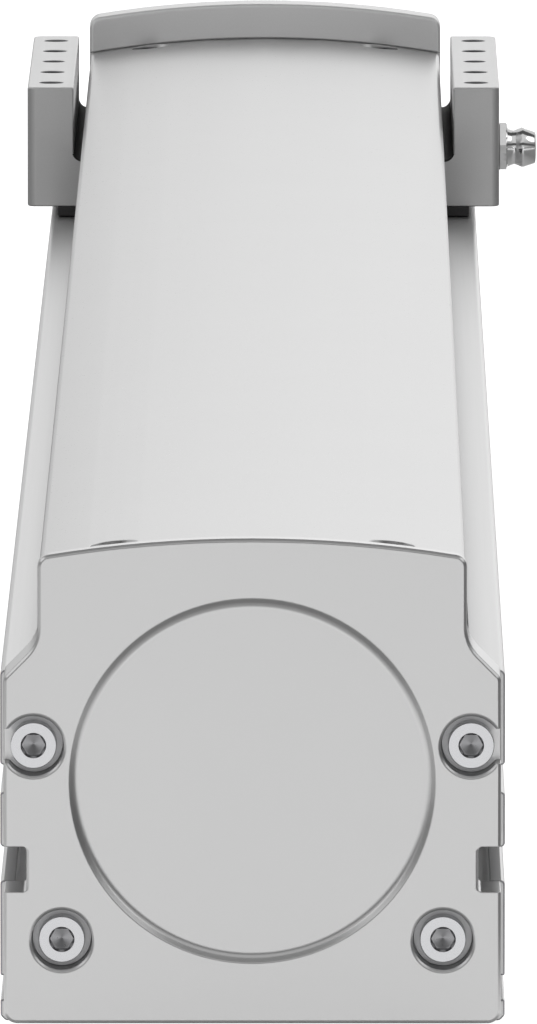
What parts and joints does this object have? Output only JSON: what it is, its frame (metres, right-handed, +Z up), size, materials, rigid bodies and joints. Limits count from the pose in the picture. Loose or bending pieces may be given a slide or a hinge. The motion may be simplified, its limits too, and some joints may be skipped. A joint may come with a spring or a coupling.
{
  "type": "ball screw linear axis",
  "caption": "Slim ball screw linear axis: an aluminium profile under an arched cover guides a winged table along its length, driven by a shaft stub at one end.",
  "frame": {"origin": "centre of the profile's base face, half way along the profile", "axes": "+X across the axis to the grease nipple's side, +Y along the axis towards the drive end, +Z up"},
  "size_m": [0.0718, 0.7015, 0.0632],
  "materials": {
    "anodised_aluminium": "satin anodised",
    "cast_aluminium": "fine blasted",
    "machined_aluminium": "satin machined",
    "hardened_steel": "ground",
    "plated_steel": "bright plated",
    "black_oxide_steel": "blackened",
    "black_polymer": "matt moulded",
    "black_rubber": "matt"
  },
  "bodies": {
    "base": {"profile": "anodised_aluminium", "end_cap": "cast_aluminium", "end_cap_screws": "plated_steel", "drive_head": "cast_aluminium", "drive_head_screws": "plated_steel", "cover": "anodised_aluminium", "guide_rail_left": "hardened_steel", "guide_rail_right": "hardened_steel", "buffers_idle_end": "black_rubber", "buffers_drive_end": "black_rubber", "bearing_retainer": "black_oxide_steel", "fixed_bearing_outer_ring": "hardened_steel", "floating_bearing_outer_ring": "hardened_steel"},
    "spindle": {"spindle": "hardened_steel", "spindle_lock_nut": "black_oxide_steel", "fixed_bearing_inner_ring": "hardened_steel", "floating_bearing_inner_ring": "hardened_steel"},
    "carriage": {"carriage": "machined_aluminium", "gap_seal_left": "black_polymer", "gap_seal_right": "black_polymer", "grease_nipple": "plated_steel", "nut_housing": "machined_aluminium", "ball_nut": "hardened_steel", "runner_front_left": "hardened_steel", "runner_front_right": "hardened_steel", "runner_rear_left": "hardened_steel", "runner_rear_right": "hardened_steel", "runner_caps_front_left": "black_polymer", "runner_caps_front_right": "black_polymer", "runner_caps_rear_left": "black_polymer", "runner_caps_rear_right": "black_polymer"}
  },
  "joints": [
    {"name": "carriage_slide", "type": "slide", "parent": "base", "child": "carriage", "axis": [0, -1, 0], "range_m": [-0.0112, 0.5322]},
    {"name": "spindle_spin", "type": "hinge", "parent": "base", "child": "spindle", "pos_m": [0, 0, 0.03], "axis": [0, 1, 0], "range_deg": [-420, 19200]}
  ],
  "couplings": [
    {"joint": "spindle_spin", "follows": "carriage_slide", "rad_per_m": 628.32}
  ]
}
